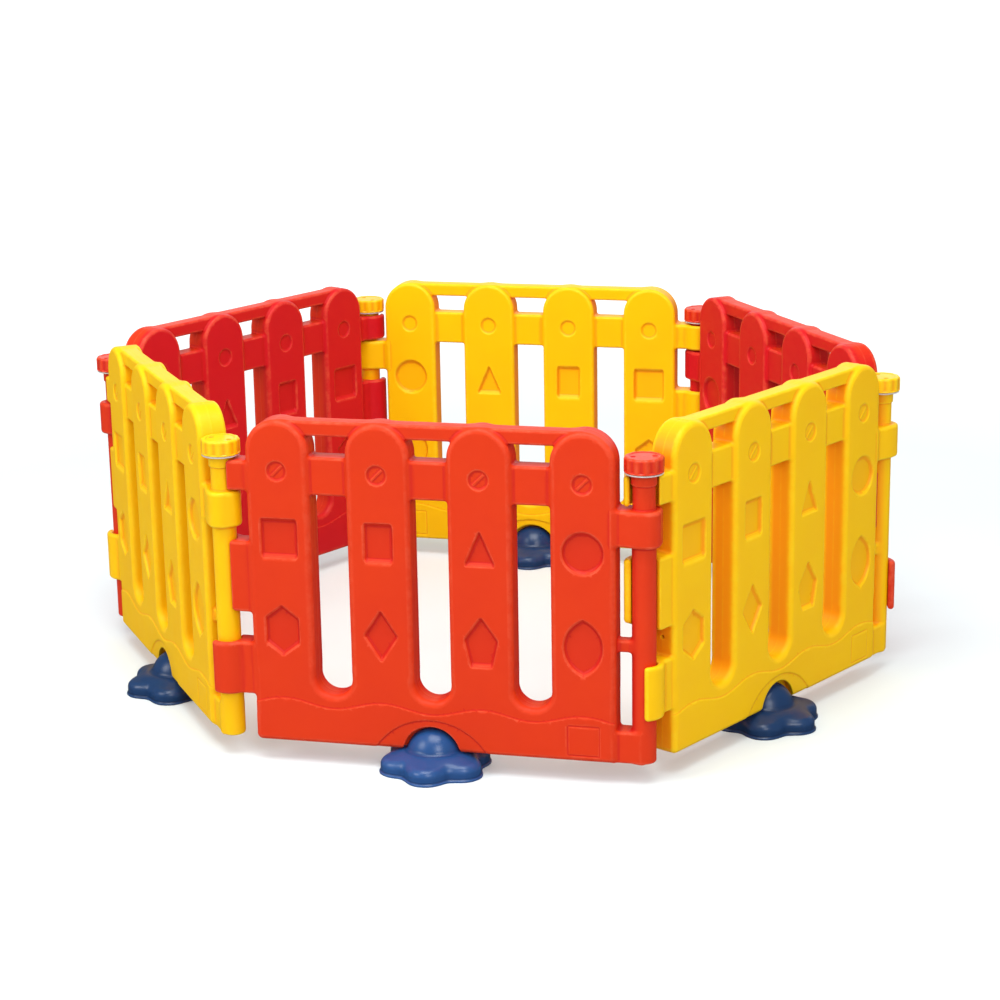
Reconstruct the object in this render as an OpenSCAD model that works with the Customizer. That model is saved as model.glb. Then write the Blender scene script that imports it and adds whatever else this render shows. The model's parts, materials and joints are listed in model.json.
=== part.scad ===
// Folding playpen: a ring of six moulded picket panels. Each panel carries a round post at its
// right-hand end, and hooks at its left-hand end that turn on the next panel's post. A washer and
// a screw cap hold the hooks on the post, and a flower-shaped foot is pressed on under each panel.
// Units are millimetres, +Z is up, and the origin is on the floor at the middle of the ring.

/* [Ring] */
// Distance between neighbouring post axes
span = 780; // [760:5:820]
// Turn of the ring at its two blunt corners, in degrees
blunt_turn = 54; // [50:1:66]
// Height of the panels' lower edge above the floor
panel_lift = 40; // [40:1:44]

/* [Panel] */
// Height of a panel
panel_h = 612; // [600:2:630]
// Thickness over the pickets
picket_t = 55; // [53:1:56]
// Thickness over the skirt
skirt_t = 58; // [57:1:60]
// Width of a picket
picket_w = 118; // [112:1:122]
// Distance between picket centres
picket_pitch = 187; // [185:1:188]
// Distance from the left post axis to the first picket's centre
picket_start = 113; // [111:1:115]
// Distance from the left post axis to the panel's end face
end_gap = 54; // [52:1:54]
// Height of the wavy top of the skirt
skirt_h = 78; // [74:1:80]
// Height of the middle of the round slot ends
slot_low = 122; // [120:1:126]
// Lower edge of the cross band
band_low = 474; // [470:1:476]
// Height of the cross band
band_h = 71; // [68:1:76]
// Thickness of the cross band
band_t = 42; // [36:1:46]
// Height of the top rail
rail_h = 29; // [24:1:31]
// Thickness of the top rail
rail_t = 36; // [32:1:40]

/* [Relief] */
// Depth of the shapes sunk into the pickets
relief_depth = 7; // [4:0.5:8]
// Depth of the round buttons near the picket tops
button_depth = 2.5; // [1.5:0.5:3]
// Radius of the round buttons
button_r = 18.5; // [16:0.5:20]
// Height of the middle of the upper row of shapes
upper_row = 394; // [390:1:398]
// Height of the middle of the lower row of shapes
lower_row = 218; // [214:1:222]

/* [Post] */
// Radius of the post
post_r = 22; // [21:0.5:22]
// Reach of the knuckle, which joins the post to the last picket, past the post's axis
knuckle_reach = 32; // [30:0.5:34]
// Radius of the collar under the washer
collar_r = 24.5; // [24:0.1:24.5]
// Radius of the spigot that the cap screws on
spigot_r = 18; // [17:0.5:18]

/* [Hooks] */
// Clearance between a hook and the post
hook_gap = 0.8; // [0.5:0.1:1]
// Outer radius of a hook
hook_r = 36; // [34:0.5:37]
// Angle that a hook wraps around the post, in degrees
hook_wrap = 137; // [125:1:140]

/* [Cap and washer] */
// Radius of the cap
cap_r = 36; // [35:0.5:38]
// Height of the cap
cap_h = 28; // [26:1:28]
// Number of flutes around the cap
cap_flutes = 12; // [10:1:16]
// Thickness of the washer
washer_h = 3; // [2.5:0.5:5]

/* [Foot] */
// Number of petals of the foot
petals = 6; // [6:6:6]
// Radius of one petal
petal_r = 36; // [35:0.5:37]
// Distance from the foot's middle to a petal's middle
petal_reach = 68; // [66:1:69]
// Height of a petal at its tip
petal_h = 27; // [24:1:30]
// Radius of the dome
dome_r = 53; // [51:0.5:54]
// Height of the dome's centre above the floor
dome_z = 28; // [27:0.5:30]
// Thickness of the panel's web that stands in the foot's slot
web_t = 16; // [14:0.5:18]
// Side clearance of the web in the slot
web_gap = 0.7; // [0.4:0.1:1]

/* [Hidden] */
SIDES = ["front", "front_right", "back_right", "back", "back_left", "front_left"];
KINDS = ["panel", "washer", "cap", "foot"];
$fn = 64;
red = [0.93, 0.25, 0.14];
yellow = [0.98, 0.75, 0.07];
blue = [0.11, 0.22, 0.48];
white = [0.93, 0.94, 0.93];

// The ring: two opposite corners turn by blunt_turn and the other four share the rest, so that
// six equal sides close exactly.
sharp_turn = (180 - blunt_turn) / 2;
heading = [0, sharp_turn, 2 * sharp_turn, 180, 180 + sharp_turn, 180 + 2 * sharp_turn];
function along(angle) = span * [cos(angle), sin(angle)];
function corner(i) = i == 0 ? [0, 0] : corner(i - 1) + along(heading[i - 1]);
ring_middle = corner(3) / 2;

// Panel frame: x runs from the left post axis to the right one, -y faces out, z = 0 is the
// lower edge.
pickets = [0, 1, 2, 3];
picket_r = picket_w / 2;
panel_mid = span / 2;
body_end = picket_start + 3 * picket_pitch + picket_r;
slot_r = (picket_pitch - picket_w) / 2;
function picket_x(k) = picket_start + k * picket_pitch;
picket_mid_z = panel_h - picket_r;

// The skirt's top rises under the pickets and dips under the slots.
wave_rise = 8;
wave_steps = 56;
function wave(x) = skirt_h + wave_rise * cos(360 * (x - picket_start) / picket_pitch);

// The arch over the foot, and the pocket that takes the foot's dome.
arch_w = 212;
arch_h = 60;
arch_depth = 3;
arch_r = (arch_w * arch_w / 4 + arch_h * arch_h) / (2 * arch_h);
pocket_gap = 6;
pocket_rise = 5;
pocket_r = dome_r + pocket_gap;

// Levels of the post, from the bottom bridge up to the spigot's top.
bridge_top = 60;
bridge_t = 44;
rib_low = 208;
rib_high = 231;
rib_t = 26;
knuckle_low = 406;
knuckle_high = 473;
knuckle_corner = 24;
knuckle_side = 7;
collar_low = 513;
collar_high = 538;
neck_r = post_r - 1.5;
spigot_top = collar_high + 26;
thread_pitch = 6;
thread_rise = 0.5;

// Levels of the three hooks. The upper two lie on the inner side, the lower one on the outer.
hook_in_r = post_r + hook_gap;
upper_hook = [477, 533];
middle_hook = [245, 381];
lower_hook = [85, 184];
collar_clear_r = collar_r + hook_gap;
arm_start = 16;
arm_t = 44;

// Cap and washer
cap_low = collar_high + washer_h + 0.4;
cap_bore = spigot_r + thread_rise + 0.6;
cap_bore_top = spigot_top + 2;
flute_r = 3;
cap_rim = 3;
washer_bore = spigot_r + thread_rise + 0.7;

// Foot
petal_top = 39;
hub_r = 82;
lip = 3;
lip_h = 4;
dome_base_r = 53;
slot_w = web_t + 2 * web_gap;

// Moves panel-frame children to side i of the ring.
module at_side(i) {
    translate([corner(i).x - ring_middle.x, corner(i).y - ring_middle.y, 0])
        rotate([0, 0, heading[i]])
            children();
}

// Extrudes an outline drawn in the panel's plane, x along and y up, to a thickness about the
// panel's middle plane.
module slab(thickness) {
    rotate([90, 0, 0])
        linear_extrude(height = thickness, center = true)
            children();
}

// Cuts an outline into both faces of a slab.
module both_faces(thickness, depth) {
    for (side = [-1, 1])
        translate([0, side * (thickness / 2 - depth / 2 + 1), 0])
            slab(depth + 2)
                children();
}

module ring(outer, inner, height) {
    difference() {
        cylinder(r = outer, h = height);
        translate([0, 0, -1])
            cylinder(r = inner, h = height + 2);
    }
}

// ---- Panel outlines, in the panel's plane ----

module picket_outline(k) {
    translate([picket_x(k) - picket_r, slot_low])
        square([picket_w, picket_mid_z - slot_low]);
    translate([picket_x(k), picket_mid_z])
        circle(r = picket_r, $fn = 96);
}

module base_outline() {
    difference() {
        translate([end_gap, 0])
            square([body_end - end_gap, slot_low + 0.5]);
        for (k = [0, 1, 2])
            translate([picket_x(k) + picket_pitch / 2, slot_low + 0.5])
                circle(r = slot_r);
    }
}

module skirt_outline() {
    step = (body_end - end_gap) / wave_steps;
    top = [for (i = [wave_steps : -1 : 0]) let (x = end_gap + i * step) [x, wave(x)]];
    polygon(concat([[end_gap, 0], [body_end, 0]], top));
}

module regular(r, sides, squash_x) {
    polygon([for (i = [0 : sides - 1]) let (a = 90 + 360 * i / sides) [squash_x * r * cos(a), r * sin(a)]]);
}

// Pointed oval: the overlap of two circles.
module pointed_oval(width, height) {
    r = (width * width / 4 + height * height / 4) / width;
    intersection() {
        translate([r - width / 2, 0])
            circle(r = r);
        translate([width / 2 - r, 0])
            circle(r = r);
    }
}

module upper_shape(k) {
    if (k == 0) square([70, 71], center = true);
    if (k == 1) square([54, 71], center = true);
    if (k == 2) polygon([[-29, -33], [29, -33], [0, 33]]);
    if (k == 3) circle(r = 38);
}

module lower_shape(k) {
    if (k == 0) regular(49, 6, 0.76);
    if (k == 1) polygon([[0, -48], [31, 0], [0, 48], [-31, 0]]);
    if (k == 2) polygon([[-20, -49], [20, -49], [32, 4], [0, 49], [-32, 4]]);
    if (k == 3) pointed_oval(72, 104);
}

module relief() {
    for (k = pickets) {
        translate([picket_x(k), upper_row])
            upper_shape(k);
        translate([picket_x(k), lower_row])
            lower_shape(k);
    }
}

// ---- Panel solids ----

module pickets_and_skirt() {
    difference() {
        union() {
            slab(picket_t)
                union() {
                    base_outline();
                    for (k = pickets) picket_outline(k);
                }
            slab(skirt_t)
                skirt_outline();
        }
        both_faces(picket_t, relief_depth)
            relief();
        both_faces(picket_t, button_depth)
            for (k = pickets)
                translate([picket_x(k), 518])
                    circle(r = button_r);
        both_faces(skirt_t, arch_depth)
            translate([panel_mid, arch_h - arch_r])
                circle(r = arch_r, $fn = 128);
        both_faces(skirt_t, 1)
            label_frame();
        dome_pocket();
    }
    button_slots();
}

// Raised bar across each button.
module button_slots() {
    slab(picket_t - 2)
        for (k = pickets)
            translate([picket_x(k), 518])
                rotate(45)
                    square([2 * button_r - 4, 5], center = true);
}

// Thin square line around the blank label field under the last picket.
module label_frame() {
    translate([picket_x(3), 40])
        difference() {
            square([60, 58], center = true);
            square([55, 53], center = true);
        }
}

// Pocket for the foot's dome, with the web left standing in the middle.
module dome_pocket() {
    difference() {
        translate([panel_mid, 0, dome_z - panel_lift + pocket_rise])
            sphere(r = pocket_r, $fn = 96);
        translate([panel_mid - pocket_r - 1, -web_t / 2, -pocket_r])
            cube([2 * pocket_r + 2, web_t, 2 * pocket_r]);
        translate([panel_mid - pocket_r, -pocket_r, -2 * pocket_r])
            cube([2 * pocket_r, 2 * pocket_r, 2 * pocket_r - 1]);
    }
}

module band_and_rail() {
    slab(band_t)
        translate([end_gap + 3, band_low])
            square([body_end - end_gap - 6, band_h]);
    slab(rail_t)
        translate([picket_x(0), panel_h - rail_h])
            square([picket_x(3) - picket_x(0), rail_h]);
}

// Block from the last picket to the post, from one level up to another.
module bridge(low, high, thickness) {
    translate([body_end - 6, -thickness / 2, low])
        cube([span - body_end + 6, thickness, high - low]);
}

// Block with rounded outer corners, from the last picket around the post.
module knuckle() {
    translate([0, 0, knuckle_low])
        linear_extrude(height = knuckle_high - knuckle_low)
            hull() {
                translate([body_end - 6, 2 - picket_t / 2])
                    square([1, picket_t - 4]);
                for (side = [-1, 1])
                    translate([span + knuckle_reach - knuckle_corner, side * knuckle_side])
                        circle(r = knuckle_corner);
            }
}

module post() {
    bridge(0, bridge_top, bridge_t);
    bridge(rib_low, rib_high, rib_t);
    knuckle();
    translate([span, 0, 0]) {
        cylinder(r = post_r, h = knuckle_low + 1);
        translate([0, 0, knuckle_high - 1])
            cylinder(r = neck_r, h = collar_high - knuckle_high);
        translate([0, 0, collar_low])
            cylinder(r = collar_r, h = collar_high - collar_low);
        translate([0, 0, collar_high - 1])
            cylinder(r = spigot_r, h = spigot_top - collar_high + 1);
        for (z = [collar_high + washer_h + 3 : thread_pitch : spigot_top - 3])
            translate([0, 0, z])
                cylinder(r = spigot_r + thread_rise, h = thread_pitch / 2);
    }
}

// Plan outline of a hook on the +y side: a C around the post, and an arm to the end face that also
// seats the post's front.
module hook_outline(inner) {
    intersection() {
        difference() {
            circle(r = hook_r);
            circle(r = inner);
        }
        polygon([
            [0, 0],
            [2 * hook_r, 0],
            [2 * hook_r, 2 * hook_r],
            [-2 * hook_r, 2 * hook_r],
            2 * hook_r * [cos(hook_wrap), sin(hook_wrap)]
        ]);
    }
    difference() {
        translate([arm_start, -arm_t / 2])
            square([end_gap + 6 - arm_start, arm_t]);
        circle(r = inner);
    }
}

module hook(levels, inner) {
    translate([0, 0, levels[0]])
        linear_extrude(height = levels[1] - levels[0])
            hook_outline(inner);
}

module hooks() {
    hook(upper_hook, collar_clear_r);
    hook(middle_hook, hook_in_r);
    mirror([0, 1, 0])
        hook(lower_hook, hook_in_r);
}

module panel(i) {
    color(i % 2 == 0 ? red : yellow)
        at_side(i)
            translate([0, 0, panel_lift]) {
                pickets_and_skirt();
                band_and_rail();
                post();
                hooks();
            }
}

// ---- Pieces on the post and under the panel ----

module washer(i) {
    color(white)
        at_side(i)
            translate([span, 0, panel_lift + collar_high])
                ring(cap_r - 1, washer_bore, washer_h);
}

module cap(i) {
    color(i % 2 == 0 ? red : yellow)
        at_side(i)
            translate([span, 0, panel_lift + cap_low])
                difference() {
                    union() {
                        cylinder(r = cap_r, h = cap_h - cap_rim);
                        cylinder(r = cap_r - cap_rim, h = cap_h);
                    }
                    translate([0, 0, -1])
                        cylinder(r = cap_bore, h = cap_bore_top - cap_low + 1);
                    for (k = [0 : cap_flutes - 1])
                        rotate(360 * k / cap_flutes)
                            translate([cap_r + flute_r / 2, 0, -1])
                                cylinder(r = flute_r, h = cap_h + 2, $fn = 24);
                }
}

module flower_outline(grow) {
    circle(r = hub_r + grow);
    for (k = [0 : petals - 1])
        rotate(360 * (k + 0.5) / petals)
            translate([petal_reach, 0])
                circle(r = petal_r + grow);
}

// Petals that slope down from the dome's foot to their tips.
module petals_solid() {
    reach = petal_reach + petal_r;
    intersection() {
        linear_extrude(height = petal_top)
            flower_outline(0);
        rotate_extrude($fn = 96)
            polygon([[0, 0], [reach + 1, 0], [reach + 1, petal_h], [dome_base_r, petal_top], [0, petal_top]]);
    }
    linear_extrude(height = lip_h)
        flower_outline(lip);
}

module foot(i) {
    color(blue)
        at_side(i)
            translate([panel_mid, 0, 0])
                difference() {
                    union() {
                        petals_solid();
                        intersection() {
                            translate([0, 0, dome_z])
                                sphere(r = dome_r, $fn = 96);
                            translate([-dome_r, -dome_r, 0])
                                cube([2 * dome_r, 2 * dome_r, 2 * dome_r]);
                        }
                    }
                    translate([-dome_r, -slot_w / 2, panel_lift])
                        cube([2 * dome_r, slot_w, dome_r]);
                }
}

for (i = [0 : 5]) {
    panel(i);
    washer(i);
    cap(i);
    foot(i);
}
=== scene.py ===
"""Looks of the folding playpen: six moulded panels with caps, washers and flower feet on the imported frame."""

import json
import math
from functools import partial

import bpy
import numpy as np
import openvdb
from mathutils import Matrix, Vector


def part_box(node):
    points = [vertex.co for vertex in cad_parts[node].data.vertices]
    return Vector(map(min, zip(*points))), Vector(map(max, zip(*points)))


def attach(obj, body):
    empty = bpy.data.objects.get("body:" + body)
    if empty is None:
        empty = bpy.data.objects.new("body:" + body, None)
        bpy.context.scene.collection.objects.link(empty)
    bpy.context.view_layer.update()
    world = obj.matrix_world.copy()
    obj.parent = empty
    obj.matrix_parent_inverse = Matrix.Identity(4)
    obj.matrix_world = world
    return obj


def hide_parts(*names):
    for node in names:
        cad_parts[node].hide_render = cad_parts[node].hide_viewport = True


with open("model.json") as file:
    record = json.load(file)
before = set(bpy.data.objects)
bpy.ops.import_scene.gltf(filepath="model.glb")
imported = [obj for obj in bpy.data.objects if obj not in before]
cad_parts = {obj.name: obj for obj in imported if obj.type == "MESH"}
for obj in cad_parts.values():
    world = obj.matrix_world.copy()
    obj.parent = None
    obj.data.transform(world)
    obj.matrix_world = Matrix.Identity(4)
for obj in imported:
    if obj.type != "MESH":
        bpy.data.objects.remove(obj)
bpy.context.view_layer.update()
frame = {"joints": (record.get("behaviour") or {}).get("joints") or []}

MM = 0.001
SIDES = ["front", "front_right", "back_right", "back", "back_left", "front_left"]
PANEL_CELL = 1.6
SMALL_CELL = 0.8

# ---- The frame's own measures, in millimetres ----

joints = {joint["name"]: joint for joint in frame["joints"]}


def post_of(side):
    """The axis of a side's post, from its cap's joint."""
    place = joints[f"unscrew_{side}_cap"]["pos_m"]
    return np.array([place[0], place[1]]) / MM


posts = [post_of(side) for side in SIDES]
SPAN = float(np.linalg.norm(posts[0] - posts[5]))
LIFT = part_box("panel_front")[0].z / MM
LIFT_Z = round(LIFT)

# ---- Measures of the mouldings, in millimetres ----

# In a panel's own frame, u runs along it from the neighbour's post to its own post, n runs across it and
# is negative outside the ring, and z runs up from its lower edge.
PICKET_R = 59.0
PITCH = 187.0
FIRST = 113.0
PICKETS = [FIRST + k * PITCH for k in range(4)]
LEFT_END = 54.0
RIGHT_END = PICKETS[3] + PICKET_R
MIDDLE = SPAN / 2
PANEL_H = 612.0
CROWN_Z = PANEL_H - PICKET_R
HALF_T = 27.5
LOWER_CORNER_R = 11.0
SLOT_R = (PITCH - 2 * PICKET_R) / 2
SLOT_Z = 129.0

BAND_Z, BAND_HALF_H, BAND_HALF_T = 509.5, 35.5, 20.5
BAND_SHORT = 3.5
RAIL_Z, RAIL_HALF_H, RAIL_HALF_T = 596.9, 13.9, 18.0
SEAM_OUT, SEAM_W = 0.3, 1.5

# the wavy skirt, the arch over the foot and the label field's frame line
SKIRT_OUT = 1.3
SKIRT_Z = 78.0
WAVE = 8.0
ARCH_HALF_W, ARCH_H, ARCH_DEPTH = 106.0, 60.0, 1.8
LABEL_Z, LABEL_HALF_W, LABEL_HALF_H, LABEL_DEPTH = 40, 29, 28, 0.9

# the shapes sunk into the pickets, in two steps of this depth, and the buttons above them
UPPER_Z, LOWER_Z, BUTTON_Z = 394.0, 218.0, 518.0
RECESS_STEP = 3.5
RECESS_DROP = 4
TRIANGLE = [(-29, -33), (29, -33), (0, 33)]
DIAMOND = [(0, -49), (32, 0), (0, 49), (-32, 0)]
PENTAGON = [(-20, -49), (20, -49), (32, 4), (0, 49), (-32, 4)]
BUTTON_R, BUTTON_DEPTH = 18.5, 4.0
BAR_HALF_W, BAR_HALF_L, BAR_H = 2.2, 14, 2.0

# the post below its knuckle, the slimmer neck above it, the collar, and the spigot that the cap screws on
POST_R, POST_TOP = 22.0, 412
NECK_R, NECK_LOW, NECK_TOP = 20.5, 440, 530
COLLAR_R, COLLAR_LOW, COLLAR_TOP = 23.2, 517, 538
SPIGOT_R, SPIGOT_TOP = 17.8, 563.5
# the knuckle has flat flanks that taper towards the picket, and past the post a nose with round corners
KNUCKLE_Z, KNUCKLE_HALF_H, KNUCKLE_HALF_T = 439.5, 33.5, 31
KNUCKLE_TAPER, NOSE_FROM, NOSE_R = 7, 8, 24
# the bridges from the last picket to the post: low and high edge, and width
BRIDGES = [(0, 60, 44.0), (208, 231, 26.0)]
# the hooks: inner radius, low and high edge, rise of the low edge, and 1 for a curl inside the ring
HOOKS = [(25.3, 477, 533, 0, 1), (22.8, 246, 381, 19, 1), (22.8, 87, 188, 0, -1)]
HOOK_OUT = 36.0
HOOK_TIP = math.radians(137) - 0.13
ARM_FROM, ARM_TO, ARM_HALF_W = 16, LEFT_END + 5, 23.5
VENT_Z, VENT_R, VENT_DEPTH = 221, 3.4, 9

DOME_R = 53.0
DOME_Z = 28.0
POCKET_GAP = 6.0
POCKET_RISE = 5.0
POCKET_WEB_HALF_T = 8.0
FOOT_CORE_R, FOOT_H, FOOT_FALL = 82, 39.6, 12.5
PETALS, PETAL_PLACE, PETAL_R, PETAL_DIP = 6, 68, 35.5, 4.0
FOOT_SLOT_HALF_W = 8.7

CAP_R, CAP_TOP, CAP_DISH = 36, 28, 1.2
FLUTES, FLUTE_DEPTH = 12, 0.9
CAP_BORE_R, CAP_BORE_H = 19.1, 24.0
PIP_PLACE, PIP_R, PIP_Z, PIP_DEPTH = 19.5, 4.6, 26.8, 2

WASHER_R, WASHER_HALF_W, WASHER_HALF_H = 27.1, 7.9, 1.5


# ---- Distance functions. Arrays hold a grid's coordinates, and a shape is where its value is negative ----


def smin(a, b, k):
    """The smaller of two distances, blended over k."""
    h = np.clip(0.5 + 0.5 * (b - a) / k, 0, 1)
    return b + (a - b) * h - k * h * (1 - h)


def smax(a, b, k):
    return -smin(-a, -b, k)


def step(edge0, edge1, x):
    """Smooth 0 to 1 as x goes from edge0 to edge1."""
    t = np.clip((x - edge0) / (edge1 - edge0), 0, 1)
    return t * t * (3 - 2 * t)


def corner2(a, b, r):
    """The overlap of two half spaces, with its outer corner rounded to r."""
    a, b = a + r, b + r
    return np.minimum(np.maximum(a, b), 0) + np.hypot(np.maximum(a, 0), np.maximum(b, 0)) - r


def box2(x, y, half_x, half_y, r):
    return corner2(np.abs(x) - half_x, np.abs(y) - half_y, r)


def polygon2(x, y, corners):
    """Distance to a closed outline, negative inside, for corners that run anticlockwise."""
    inside = np.full(np.broadcast(x, y).shape, -1e9)
    nearest = np.full(inside.shape, 1e9)
    for (ax, ay), (bx, by) in zip(corners, corners[1:] + corners[:1]):
        ex, ey = bx - ax, by - ay
        length = math.hypot(ex, ey)
        inside = np.maximum(inside, ((x - ax) * ey - (y - ay) * ex) / length)
        t = np.clip(((x - ax) * ex + (y - ay) * ey) / length**2, 0, 1)
        nearest = np.minimum(nearest, np.hypot(x - ax - t * ex, y - ay - t * ey))
    return np.where(inside > 0, nearest, -nearest)


def soft_polygon2(x, y, corners, r):
    """Distance to an outline whose corners are rounded to r: a smaller outline, grown by r."""
    mx, my = np.mean(corners, axis=0)
    inner = -polygon2(np.array([mx]), np.array([my]), corners)[0]
    k = 1 - r / inner
    return polygon2(x, y, [(mx + k * (cx - mx), my + k * (cy - my)) for cx, cy in corners]) - r


def regular(radius, sides, squash):
    """The corners of a regular polygon that stands on a corner, its width squashed."""
    turns = [math.radians(90 + 360 * i / sides) for i in range(sides)]
    return [(squash * radius * math.cos(a), radius * math.sin(a)) for a in turns]


def oval2(x, y, width, height):
    """A pointed oval: the overlap of two circles."""
    r = (width * width / 4 + height * height / 4) / width
    return np.maximum(np.hypot(x - r + width / 2, y) - r, np.hypot(x + r - width / 2, y) - r)


def slab3(d, n, half, r):
    """An outline with distance d, given a half thickness and rounded edges."""
    return corner2(d, np.abs(n) - half, r)


def rod3(u, n, z, radius, low, high, r):
    """An upright rod with rounded ends."""
    return corner2(np.hypot(u, n) - radius, np.abs(z - (low + high) / 2) - (high - low) / 2, r)


# ---- The panel ----

# the sunken shapes: picket, height of the middle, and outline
RELIEFS = [
    (0, UPPER_Z, lambda x, y: box2(x, y, 35, 35.5, 6)),
    (1, UPPER_Z, lambda x, y: box2(x, y, 27, 35.5, 6)),
    (2, UPPER_Z, lambda x, y: soft_polygon2(x, y, TRIANGLE, 3)),
    (3, UPPER_Z, lambda x, y: np.hypot(x, y) - 38),
    (0, LOWER_Z, lambda x, y: soft_polygon2(x, y, regular(49, 6, 0.76), 5)),
    (1, LOWER_Z, lambda x, y: soft_polygon2(x, y, DIAMOND, 4)),
    (2, LOWER_Z, lambda x, y: soft_polygon2(x, y, PENTAGON, 5)),
    (3, LOWER_Z, lambda x, y: oval2(x, y, 72, 104)),
]


def relief2(u, z):
    """Distance in the panel's plane to the shapes sunk into the pickets."""
    d = np.full(np.broadcast(u, z).shape, 1e9)
    for k, middle_z, outline in RELIEFS:
        d = np.minimum(d, outline(u - PICKETS[k], z - middle_z))
    return d


def comb2(u, z):
    """Distance in the panel's plane to the outline of the pickets and the base."""
    pickets = np.full(np.broadcast(u, z).shape, 1e9)
    slots = np.full(pickets.shape, 1e9)
    for x in PICKETS:
        pickets = np.minimum(pickets, np.hypot(u - x, np.maximum(z - CROWN_Z, 0)) - PICKET_R)
    for x in PICKETS[:3]:
        slots = np.minimum(slots, np.hypot(u - x - PITCH / 2, z - SLOT_Z) - SLOT_R)
    comb = np.where(z >= SLOT_Z, pickets, -slots)
    half = (RIGHT_END - LEFT_END) / 2
    sides = np.abs(u - LEFT_END - half) - half
    return np.maximum(comb, corner2(sides, -z, LOWER_CORNER_R))


def half_thickness(u, n, z):
    """Half the panel's thickness at each point of its plane, reliefs and skirt included."""
    # a recess is cut in two steps, the second a little lower, which leaves a double lip below it
    half = HALF_T
    for drop in (0, RECESS_DROP):
        half = half - RECESS_STEP * step(1.6, -4.4, relief2(u, z + drop))
    # buttons: a shallow round dish, with a slanting bar on the outside of the ring
    x = u - FIRST - PITCH * np.clip(np.round((u - FIRST) / PITCH), 0, 3)
    y = z - BUTTON_Z
    button = np.hypot(x, y) - BUTTON_R
    bar = np.maximum(np.abs(x - y) / math.sqrt(2) - BAR_HALF_W, np.abs(x + y) / math.sqrt(2) - BAR_HALF_L)
    half = half - BUTTON_DEPTH * step(1.8, -4.4, button) + BAR_H * step(2.0, -1.2, bar) * (n < 0)
    # the skirt stands proud under a wavy edge, and the arch over the foot is sunk into it
    wave = SKIRT_Z + WAVE * np.cos(2 * math.pi * (u - FIRST) / PITCH)
    half = half + SKIRT_OUT * step(2.0, -2.0, z - wave)
    arch_r = (ARCH_HALF_W**2 + ARCH_H**2) / (2 * ARCH_H)
    arch = np.hypot(u - MIDDLE, z - ARCH_H + arch_r) - arch_r
    half = half - ARCH_DEPTH * step(1.4, -1.8, arch)
    # a thin frame line around the blank label field
    label = np.abs(box2(u - PICKETS[3], z - LABEL_Z, LABEL_HALF_W, LABEL_HALF_H, 2))
    return half - LABEL_DEPTH * step(2.3, 0.3, label)


def board3(u, n, z):
    """The pickets and the base, with the band and the rail between the pickets."""
    # the edges are rounder outside than inside, and roundest around the slots' lower ends
    edge = 10 + 2 * step(SLOT_Z + 20, SLOT_Z - 10, z) * step(40, 60, z) - 3 * step(-5, 5, n)
    board = slab3(comb2(u, z), n, half_thickness(u, n, z), edge)
    ends, crowns = (LEFT_END + RIGHT_END) / 2, (PICKETS[0] + PICKETS[3]) / 2
    band = box2(u - ends, z - BAND_Z, RIGHT_END - ends - BAND_SHORT, BAND_HALF_H, 1)
    rail = box2(u - crowns, z - RAIL_Z, PICKETS[3] - crowns, RAIL_HALF_H, 1)
    board = smin(board, slab3(rail, n, RAIL_HALF_T, 5), 5)
    # the blend is as wide as the step from band to picket face, so that it fills the corners
    # and leaves the faces flat
    board = smin(board, slab3(band, n, BAND_HALF_T, 5), HALF_T - BAND_HALF_T)
    # the mould's parting line
    return board - SEAM_OUT * np.exp(-((n / SEAM_W) ** 2))


def post3(u, n, z):
    """The post, with the knuckle that joins it to the last picket and a collar near its top."""
    p = u - SPAN
    flank = np.abs(n) - KNUCKLE_HALF_T + KNUCKLE_TAPER * step(0, -44, p)
    nose = np.hypot(p - NOSE_FROM, np.maximum(np.abs(n) - KNUCKLE_HALF_T + NOSE_R, 0)) - NOSE_R
    knuckle = np.maximum(np.where(p > NOSE_FROM, nose, flank), RIGHT_END - 5 - u)
    knuckle = corner2(knuckle, np.abs(z - KNUCKLE_Z) - KNUCKLE_HALF_H, 6)
    post = smin(rod3(p, n, z, POST_R, 0, POST_TOP, 4), knuckle, 4)
    post = smin(post, rod3(p, n, z, NECK_R, NECK_LOW, NECK_TOP, 2), 3)
    return smin(post, rod3(p, n, z, COLLAR_R, COLLAR_LOW, COLLAR_TOP, 2), 1.5)


def hook3(u, n, z, inner, low, high, rise):
    """A hook on the +n side: a C around the neighbour's post, and an arm that runs into the end picket."""
    radius = np.hypot(u, n)
    middle = (inner + HOOK_OUT) / 2
    half_wall = (HOOK_OUT - inner) / 2
    tip = middle * np.array([math.cos(HOOK_TIP), math.sin(HOOK_TIP)])
    side = u * math.sin(HOOK_TIP) - n * math.cos(HOOK_TIP)
    ring = np.where(
        (side > 0) | (radius < 1e-3),
        np.abs(radius - middle) - half_wall,
        np.hypot(u - tip[0], n - tip[1]) - half_wall,
    )
    # the ring's other end is round too, and lies inside the arm
    ring = np.where((n < 0) & (u > 0), np.hypot(np.abs(radius - middle), n) - half_wall + 4, ring)
    arm = box2(u - (ARM_FROM + ARM_TO) / 2, n, (ARM_TO - ARM_FROM) / 2, ARM_HALF_W, 3)
    plan = smin(ring, arm, 5)
    # its lower edge rises from the arm to the tip
    low = low + rise * step(28, -34, u)
    levels = np.abs(z - (low + high) / 2) - (high - low) / 2
    return corner2(plan, levels, 6)


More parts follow.
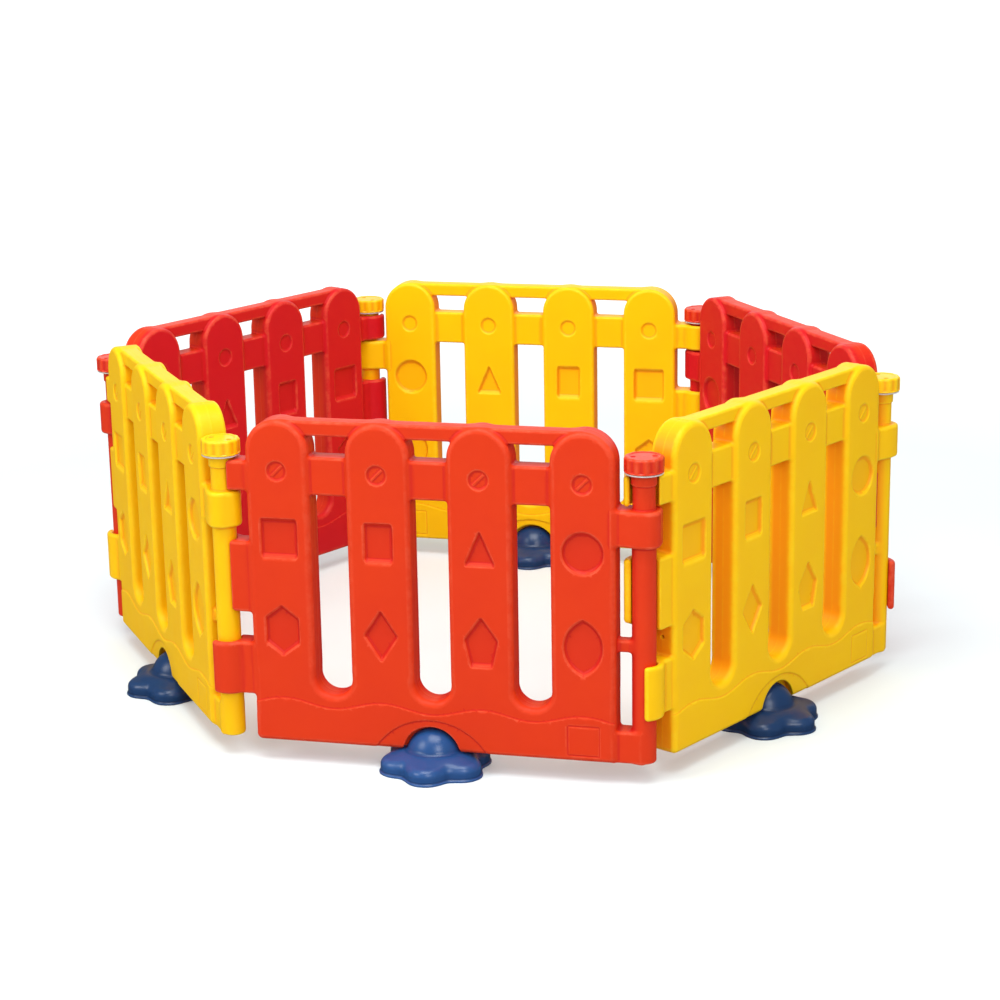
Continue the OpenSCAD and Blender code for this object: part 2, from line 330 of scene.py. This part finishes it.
def panel_field(u, n, z):
    """The whole moulding of one panel."""
    body = board3(u, n, z)
    for low, high, width in BRIDGES:
        middle = (RIGHT_END - 6 + SPAN) / 2
        bridge = box2(u - middle, z - (low + high) / 2, SPAN - middle, (high - low) / 2, 1)
        body = smin(body, slab3(bridge, n, width / 2, 5), 7)
    body = smin(body, post3(u, n, z), 8)
    body = np.minimum(body, rod3(u - SPAN, n, z, SPIGOT_R, NECK_TOP, SPIGOT_TOP, 2))
    for inner, low, high, rise, side in HOOKS:
        body = smin(body, hook3(u, n * side, z, inner, low, high, rise), 7)
        body = np.maximum(body, -rod3(u, n, z, inner + 0.15, low - 12, high + 12, 0))
    # the pocket for the foot's dome, around the web that stands in the foot's slot
    middle_z = DOME_Z - LIFT_Z + POCKET_RISE
    sphere = np.sqrt((u - MIDDLE) ** 2 + n**2 + (z - middle_z) ** 2) - DOME_R - POCKET_GAP
    body = smax(body, -smax(sphere, POCKET_WEB_HALF_T - np.abs(n), 2), 3)
    # the vent that the blowing needle leaves in the end face
    vent = np.hypot(n, z - VENT_Z) - VENT_R
    return smax(body, -np.maximum(vent, u - LEFT_END - VENT_DEPTH), 1.5)


# ---- The small mouldings ----


def pips(x, y, z):
    """Distance to the two shallow pips in a cap's top."""
    across, along, down = (np.abs(x) - PIP_PLACE) / PIP_R, y / PIP_R, (z - PIP_Z) / PIP_DEPTH
    return PIP_DEPTH * (np.sqrt(across**2 + along**2 + down**2) - 1)


def cap_field(x, y, z):
    """A fluted screw cap, standing on z = 0."""
    turn = np.arctan2(y, x)
    radius = np.hypot(x, y)
    wall = radius - CAP_R + FLUTE_DEPTH * (1 - np.cos(FLUTES * turn)) * step(1.5, 4.0, z)
    top = CAP_TOP - CAP_DISH * step(29, 25, radius)
    body = corner2(wall, z - top, 4.5)
    body = np.maximum(body, corner2(wall, -z, 1.2))
    body = smax(body, -pips(x, y, z), 1)
    # the moulding's gate mark stands in the middle of the dished top
    body = body - 0.3 * np.exp(-((radius / 2.5) ** 2))
    return np.maximum(body, -rod3(x, y, z, CAP_BORE_R, -10, CAP_BORE_H, 0.5))


def foot_field(x, y, z):
    """A flower of six petals that slope down from a dome, standing on z = 0."""
    radius = np.hypot(x, y)
    flower = radius - FOOT_CORE_R
    for k in range(PETALS):
        a = math.radians(30 + 60 * k)
        petal = np.hypot(x - PETAL_PLACE * math.cos(a), y - PETAL_PLACE * math.sin(a)) - PETAL_R
        flower = smin(flower, petal, 16)
    top = FOOT_H - FOOT_FALL * step(50, 108, radius)
    # each petal is crowned, and the creases between them dip
    crown = np.cos(3 * np.arctan2(y, x) + math.pi / 2) ** 2
    top = top - PETAL_DIP * (1 - crown) * step(58, 88, radius)
    body = corner2(flower, z - top, 11)
    lip = corner2(flower - 2.6, z - 4, 1.6)
    body = smin(body, lip, 3)
    dome = np.sqrt(x**2 + y**2 + (z - DOME_Z) ** 2) - DOME_R
    body = smin(body, dome, 7)
    # the slot that takes the panel's web
    slot = np.maximum(np.abs(y) - FOOT_SLOT_HALF_W, LIFT_Z - z)
    return np.maximum(smax(body, -slot, 1.5), -z)


def washer_field(x, y, z):
    """A flat ring with rounded edges, standing on z = 0."""
    ring = np.abs(np.hypot(x, y) - WASHER_R) - WASHER_HALF_W
    return corner2(ring, np.abs(z - WASHER_HALF_H) - WASHER_HALF_H, 1.2)


# ---- Meshes ----


def mesh_of(name, field, low, high, cell, adapt):
    """Meshes the zero surface of a distance function inside a box, and gives the mesh's points too."""
    axes = [np.arange(a - 2 * cell, b + 2 * cell, cell) for a, b in zip(low, high)]
    x, y, z = np.meshgrid(*axes, indexing="ij", sparse=True)
    d = np.broadcast_to(field(x, y, z), [len(a) for a in axes])
    grid = openvdb.FloatGrid(background=3 * cell)
    grid.gridClass = "level set"
    grid.copyFromArray(np.clip(d, -3 * cell, 3 * cell).astype(np.float32), tolerance=0.0)
    points, triangles, quads = grid.convertToPolygons(isovalue=0.0, adaptivity=adapt)
    points = points * cell + np.array([a[0] for a in axes])
    # openvdb winds its faces inward
    faces = [list(map(int, f[::-1])) for f in triangles] + [list(map(int, f[::-1])) for f in quads]
    mesh = bpy.data.meshes.new(name)
    mesh.from_pydata((points * MM).tolist(), [], faces)
    mesh.validate()
    mesh.shade_smooth()
    return mesh, points


def probe(field, points, reach):
    """The slope of a distance function at points, and how sharply its surface bends there, per millimetre."""
    columns = [c.reshape(-1, 1, 1) for c in points.T]
    here = field(*columns).ravel()
    slope, bend = np.empty_like(points), -6 * here
    for axis in range(3):
        moved = [[c + sign * reach if i == axis else c for i, c in enumerate(columns)] for sign in (1, -1)]
        ahead, behind = [field(*m).ravel() for m in moved]
        slope[:, axis] = ahead - behind
        bend = bend + ahead + behind
    slope /= np.maximum(np.linalg.norm(slope, axis=1, keepdims=True), 1e-9)
    return slope, bend / reach**2


def painted_shade_of_panel(points, slope):
    """Painted shade: full on the slots' walls and undersides, part in the sunken shapes.
    The second value is 1 on the inner face of the panel, which the red plastic paints a darker, shaded red."""
    u, n, z = points.T
    relief = relief2(u, z)
    # painted shade on walls within the panel's thickness and around the sunken shapes: in full on those that
    # face a panel's left end and on undersides, a fifth as much on those that face its right end
    side = np.maximum(-slope[:, 0], 0.2 * slope[:, 0])
    wall = np.maximum(side, -slope[:, 2]) * np.maximum(step(26, 16, np.abs(n)), step(3, 0, relief))
    # painted shade, a quarter as strong, on the floors of the sunken shapes
    floor = 0.25 * step(0, -5, relief) * step(12, 16, np.abs(n))
    return np.maximum(floor, np.clip(wall, 0, 1) ** 1.5), step(6, 22, n)


def painted_shade_of_cap(points, slope):
    """Painted shade: in full in the pips, and a little in the flutes."""
    flute_shade = 0.4 * step(35.2, 34.2, np.hypot(*points.T[:2])) * (slope[:, 2] < 0.5)
    return np.maximum(step(1.0, 0.2, pips(*points.T)), flute_shade), np.zeros(len(points))


def no_painted_shade(points, slope):
    """No painted shade, and no inner face."""
    return np.zeros(len(points)), np.zeros(len(slope))


def finish_mesh(mesh, points, field, reach, painted_shade_of):
    """Smooth normals from the distance function, and three values for the materials: "edge" is 1 on outer
    edges and 0 in inner corners, the next is how much painted shade a point gets, and "inner" is 1 on the
    ring's inside."""
    slope, bend = probe(field, points, reach)
    mesh.normals_split_custom_set_from_vertices(slope.tolist())
    painted_shade, inner = painted_shade_of(points, slope)
    for name, value in (("edge", 0.5 + 3.0 * bend), ("painted_shade", painted_shade), ("inner", inner)):
        attribute = mesh.attributes.new(name, "FLOAT", "POINT")
        attribute.data.foreach_set("value", np.clip(value, 0, 1).astype(np.float32))


def built(name, field, low, high, cell, adapt, painted_shade_of=no_painted_shade):
    """The finished mesh of a distance function. A larger adapt leaves fewer faces on flat surfaces."""
    mesh, points = mesh_of(name, field, low, high, cell, adapt)
    finish_mesh(mesh, points, field, cell * 0.6, painted_shade_of)
    return mesh


# ---- Materials ----


def map_node(tree, value, low, high, out_low=0.0, out_high=1.0):
    """A socket's value, taken from one range to another and clamped."""
    node = tree.nodes.new("ShaderNodeMapRange")
    node.inputs["From Min"].default_value = low
    node.inputs["From Max"].default_value = high
    node.inputs["To Min"].default_value = out_low
    node.inputs["To Max"].default_value = out_high
    tree.links.new(value, node.inputs["Value"])
    return node.outputs["Result"]


def math_node(tree, kind, a, b):
    """One operation on two values, each a socket or a float."""
    node = tree.nodes.new("ShaderNodeMath")
    node.operation = kind
    for i, value in enumerate((a, b)):
        if isinstance(value, float):
            node.inputs[i].default_value = value
        else:
            tree.links.new(value, node.inputs[i])
    return node.outputs[0]


def mix_node(tree, factor, a, b):
    """A mix of two colours, each a socket or a tuple."""
    node = tree.nodes.new("ShaderNodeMix")
    node.data_type = "RGBA"
    tree.links.new(factor, node.inputs["Factor"])
    for socket, value in (("A", a), ("B", b)):
        target = [i for i in node.inputs if i.name == socket and i.type == "RGBA"][0]
        if isinstance(value, tuple):
            target.default_value = (*value, 1)
        else:
            tree.links.new(value, target)
    return [o for o in node.outputs if o.type == "RGBA"][0]


def stored_node(tree, key):
    """A value stored on the mesh."""
    node = tree.nodes.new("ShaderNodeAttribute")
    node.attribute_name = key
    return node.outputs["Fac"]


# how high the waves, the grain and the scratches of a moulding's skin are, in metres
WAVE_RISE = 0.00045
GRAIN_RISE = 0.00003
SCRATCH_RISE = 0.0002


def plastic(name, colours, roughness, seed, peel=1.0, shine=0.16):
    """Moulded plastic: soft mottling, painted shade on walls, undersides, inner corners and the ring's inside,
    a pale line on the edges that is partly wear and partly a painted highlight, fine scuffs and an uneven skin.
    """
    # the third colour is painted shade, the inner colour paints the ring's inside, for red as a darker, shaded
    # red, and the pale colour is partly wear and partly a painted highlight
    colour, inner, painted_shade, pale = colours
    mat = bpy.data.materials.new(name)
    mat.use_nodes = True
    tree = mat.node_tree
    nodes, links = tree.nodes, tree.links
    shader = nodes["Principled BSDF"]
    place = nodes.new("ShaderNodeTexCoord").outputs["Object"]
    ramp, maths, mix = partial(map_node, tree), partial(math_node, tree), partial(mix_node, tree)

    def noise(size, detail=3.0, rough=0.55, stretch=None):
        tex = nodes.new("ShaderNodeTexNoise")
        tex.noise_dimensions = "4D"
        tex.inputs["W"].default_value = seed * 7.3 + size * 100
        tex.inputs["Scale"].default_value = 1 / size
        tex.inputs["Detail"].default_value = detail
        tex.inputs["Roughness"].default_value = rough
        source = place
        if stretch:
            scale = nodes.new("ShaderNodeMapping")
            scale.inputs["Scale"].default_value = stretch
            links.new(place, scale.inputs["Vector"])
            source = scale.outputs["Vector"]
        links.new(source, tex.inputs["Vector"])
        return tex.outputs["Fac"]

    edge = stored_node(tree, "edge")
    # colour: painted shade on the ring's inside and on walls and undersides, broad mottling towards the shade
    # colour, painted shade in inner corners, then a broken pale line on the edges, partly wear and partly a
    # painted highlight
    sides = mix(stored_node(tree, "inner"), colour, inner)
    inside = mix(stored_node(tree, "painted_shade"), sides, painted_shade)
    mottled = mix(ramp(noise(0.11), 0.35, 0.65, 0.0, 0.12), inside, painted_shade)
    corner_shade = mix(ramp(edge, 0.45, 0.2, 0.0, 0.6), mottled, painted_shade)
    # a broken pale line on convex edges, partly wear and partly a painted highlight
    broken = ramp(noise(0.018, 5.0, 0.65), 0.42, 0.62, 0.15, 0.55)
    wear_and_highlight = maths("MULTIPLY", ramp(edge, 0.62, 0.95), broken)
    links.new(mix(wear_and_highlight, corner_shade, pale), shader.inputs["Base Color"])
    # roughness: hazy patches, and scuffs drawn out along the piece
    haze = ramp(noise(0.05, 4.0), 0.3, 0.7, -0.05, 0.05)
    scuffs = ramp(noise(0.012, 6.0, 0.7, (0.25, 1.0, 1.6)), 0.60, 0.72, 0.0, 0.12)
    total = maths("ADD", maths("ADD", haze, scuffs), roughness)
    links.new(total, shader.inputs["Roughness"])
    # skin: the soft waves of a blow moulding, the fine grain of the mould, and the scuffs
    waves = maths("MULTIPLY", noise(0.07, 2.0), WAVE_RISE * peel)
    grain = maths("MULTIPLY", noise(0.0035, 2.0), GRAIN_RISE * peel)
    scratches = maths("MULTIPLY", scuffs, SCRATCH_RISE * peel)
    height = maths("ADD", maths("ADD", waves, grain), scratches)
    bump = nodes.new("ShaderNodeBump")
    bump.inputs["Distance"].default_value = 1.0
    bump.inputs["Strength"].default_value = 1.0
    links.new(height, bump.inputs["Height"])
    links.new(bump.outputs["Normal"], shader.inputs["Normal"])
    shader.inputs["IOR"].default_value = 1.5
    shader.inputs["Specular IOR Level"].default_value = shine
    return mat


# each plastic's colour on the outside of the ring, on the inside (for red a darker red as painted shade), as
# painted shade, and on its edges, where the pale line is partly wear and partly a painted highlight
RED = ((0.72, 0.040, 0.006), (0.64, 0.009, 0.017), (0.58, 0.010, 0.010), (0.82, 0.12, 0.055))
YELLOW = ((0.98, 0.56, 0.001), (0.98, 0.57, 0.001), (0.92, 0.32, 0.005), (0.98, 0.70, 0.02))
BLUE = ((0.014, 0.072, 0.235), (0.014, 0.072, 0.235), (0.006, 0.032, 0.12), (0.05, 0.14, 0.38))
WHITE = ((0.90, 0.80, 0.77), (0.90, 0.80, 0.77), (0.80, 0.72, 0.70), (0.94, 0.90, 0.88))
# the feet's blue is painted darker as shade on all but the front one, in the order of SIDES
FOOT_SHADE = [1.0, 0.5, 0.7, 0.6, 0.7, 0.55]
WASHER_CLEARNESS = 0.3

# ---- The pieces ----

panel_mesh = built(
    "panel_shape", panel_field, (-40, -40, -2), (SPAN + 40, 40, PANEL_H + 2), PANEL_CELL, 0.004,
    painted_shade_of_panel,
)
cap_mesh = built("cap_shape", cap_field, (-40, -40, -2), (40, 40, 30), SMALL_CELL, 0.01, painted_shade_of_cap)
foot_mesh = built("foot_shape", foot_field, (-110, -110, -2), (110, 110, 80), SMALL_CELL * 1.5, 0.01)
washer_mesh = built("washer_shape", washer_field, (-37, -37, -1), (37, 37, 4), SMALL_CELL * 0.8, 0.01)
cap_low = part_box("cap_front")[0].z
washer_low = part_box("washer_front")[0].z


def place(name, shape, at, heading, low, mat, body, node, slot):
    """One named piece made from a shape, set in place on its body for its CAD node."""
    mesh = shape.copy()
    mesh.name = name
    mesh.materials.append(mat)
    obj = bpy.data.objects.new(name, mesh)
    bpy.context.scene.collection.objects.link(obj)
    obj.matrix_world = Matrix.Translation((at[0] * MM, at[1] * MM, low)) @ Matrix.Rotation(heading, 4, "Z")
    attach(obj, body)
    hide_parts(node)


for i, side in enumerate(SIDES):
    left, right = posts[i - 1], posts[i]
    way = right - left
    heading = math.atan2(way[1], way[0])
    panel_body, cap_body, foot_body = f"{side}_panel", f"{side}_cap", f"{side}_foot"
    warm, slot = ((RED, "red_plastic"), (YELLOW, "yellow_plastic"))[i % 2]
    mat = plastic(f"{slot}_{side}", warm, 0.40, i)
    name, node = f"moulded_panel_{side}", f"panel_{side}"
    place(name, panel_mesh, left, heading, LIFT * MM, mat, panel_body, node, slot)
    # each cap is screwed to an angle of its own
    cap_turn = heading + 0.3 + 0.7 * i
    mat = plastic(f"cap_{slot}_{side}", warm, 0.34, i + 10, peel=0.5, shine=0.3)
    name, node = f"screw_cap_{side}", f"cap_{side}"
    place(name, cap_mesh, right, cap_turn, cap_low, mat, cap_body, node, slot)
    mat = plastic(f"washer_plastic_{side}", WHITE, 0.32, i + 20, peel=0.3)
    mat.node_tree.nodes["Principled BSDF"].inputs["Transmission Weight"].default_value = WASHER_CLEARNESS
    name, node = f"sealing_washer_{side}", f"washer_{side}"
    place(name, washer_mesh, right, heading, washer_low, mat, panel_body, node, "white_plastic")
    # each foot's blue, darkened by its painted shade
    shaded_blue = [tuple(FOOT_SHADE[i] * part for part in colour) for colour in BLUE]
    mat = plastic(f"foot_plastic_{side}", shaded_blue, 0.31, i + 30, peel=0.8, shine=0.5)
    name, node = f"flower_foot_{side}", f"foot_{side}"
    place(name, foot_mesh, (left + right) / 2, heading, 0.0, mat, foot_body, node, "blue_plastic")

# ---- Floor, light and camera ----

FLOOR_REACH = 45.0
# how pale the floor is to the camera, and as a light from below, and how much of that reflections get
FLOOR_SEEN, FLOOR_BOUNCE, FLOOR_MIRRORED = 0.78, 0.55, 0.15
FLOOR_TINT = (0.92, 1.02, 1.04)
# the floor's own glow, and the distances in metres from the object's middle between which it grows
GLOW_NEAR, GLOW_FAR, GLOW_FROM, GLOW_TO = 0.15, 0.8, 2.0, 6.0
ROOM_LIGHT, ROOM_MIRRORED = 0.62, 0.18


def floor_material():
    """A white studio floor that gives a little light of its own, so that it stays white around the object."""
    mat = bpy.data.materials.new("studio_floor")
    mat.use_nodes = True
    tree = mat.node_tree
    nodes, links = tree.nodes, tree.links
    shader = nodes["Principled BSDF"]
    shader.inputs["Roughness"].default_value = 0.7
    shader.inputs["Specular IOR Level"].default_value = 0.1
    shader.inputs["Emission Color"].default_value = (1, 1, 1, 1)
    # a cool white, palest to the camera, greyer as a light from below, and dark in reflections
    path = nodes.new("ShaderNodeLightPath")
    tone = map_node(tree, path.outputs["Is Camera Ray"], 0.0, 1.0, FLOOR_BOUNCE, FLOOR_SEEN)
    dark = map_node(tree, path.outputs["Is Glossy Ray"], 0.0, 1.0, 1.0, FLOOR_MIRRORED)
    cool = nodes.new("ShaderNodeVectorMath")
    cool.operation = "SCALE"
    cool.inputs[0].default_value = FLOOR_TINT
    links.new(math_node(tree, "MULTIPLY", tone, dark), cool.inputs["Scale"])
    links.new(cool.outputs["Vector"], shader.inputs["Base Color"])
    # the glow is for the camera alone, and grows away from the object, where the lamps no longer reach
    away = nodes.new("ShaderNodeVectorMath")
    away.operation = "LENGTH"
    links.new(nodes.new("ShaderNodeTexCoord").outputs["Object"], away.inputs[0])
    fade = map_node(tree, away.outputs["Value"], GLOW_FROM, GLOW_TO, GLOW_NEAR, GLOW_FAR)
    glow = math_node(tree, "MULTIPLY", path.outputs["Is Camera Ray"], fade)
    links.new(glow, shader.inputs["Emission Strength"])
    return mat


floor = bpy.data.meshes.new("studio_floor")
signs = [(-1, -1), (1, -1), (1, 1), (-1, 1)]
floor.from_pydata([(FLOOR_REACH * x, FLOOR_REACH * y, 0) for x, y in signs], [], [(0, 1, 2, 3)])
floor.materials.append(floor_material())
floor_obj = bpy.data.objects.new("studio_floor", floor)
bpy.context.scene.collection.objects.link(floor_obj)


def room():
    """A white room, seen at full strength, softer as a light, and darker still in reflections."""
    world = bpy.data.worlds.new("studio")
    world.use_nodes = True
    tree = world.node_tree
    sky = tree.nodes["Background"]
    sky.inputs["Color"].default_value = (1, 1, 1, 1)
    path = tree.nodes.new("ShaderNodeLightPath")
    dim = map_node(tree, path.outputs["Is Glossy Ray"], 0.0, 1.0, ROOM_LIGHT, ROOM_MIRRORED)
    seen = math_node(tree, "MAXIMUM", path.outputs["Is Camera Ray"], dim)
    tree.links.new(seen, sky.inputs["Strength"])
    return world


bpy.context.scene.world = room()


def softbox(name, at, toward, size, power):
    """A rectangular lamp. Places and sizes are in metres, and the power is in watts."""
    lamp = bpy.data.lights.new(name, "AREA")
    lamp.shape = "RECTANGLE"
    lamp.size, lamp.size_y = size
    lamp.energy = power
    obj = bpy.data.objects.new(name, lamp)
    bpy.context.scene.collection.objects.link(obj)
    obj.location = at
    obj.rotation_euler = (Vector(toward) - Vector(at)).to_track_quat("-Z", "Y").to_euler()


softbox("left", (-4.2, -3.6, 3.6), (0, 0, 0.3), (2.5, 2.5), 112)
softbox("right", (2.6, -5.2, 3.6), (0, 0, 0.3), (2.5, 2.5), 112)
softbox("overhead", (0.1, -1.5, 4.3), (0, 0, 0.3), (3.0, 2.5), 132)
softbox("behind", (0.0, 6.5, 2.6), (0, 0, 0.6), (8.0, 2.6), 75)

# the camera's place in metres, its angles and its lens in millimetres, fitted to the photo's view
CAMERA_AT = (1.160, -4.747, 1.689)
AZIMUTH, TILT, ROLL = [math.radians(angle) for angle in (-13.46, 15.60, -0.98)]
SENSOR_W, LENS = 36, 88.34

level = Vector((math.cos(AZIMUTH), -math.sin(AZIMUTH), 0))
ahead = Vector((math.sin(AZIMUTH), math.cos(AZIMUTH), 0))
forward = ahead * math.cos(TILT) - Vector((0, 0, math.sin(TILT)))
across = math.cos(ROLL) * level + math.sin(ROLL) * level.cross(forward)
camera_data = bpy.data.cameras.new("camera")
camera_data.sensor_width = SENSOR_W
camera_data.lens = LENS
camera_data.clip_end = 200
camera = bpy.data.objects.new("camera", camera_data)
bpy.context.scene.collection.objects.link(camera)
camera_turn = Matrix((across, across.cross(forward), -forward)).transposed().to_4x4()
camera.matrix_world = Matrix.Translation(CAMERA_AT) @ camera_turn
bpy.context.scene.camera = camera
bpy.context.scene.view_settings.view_transform = "Standard"
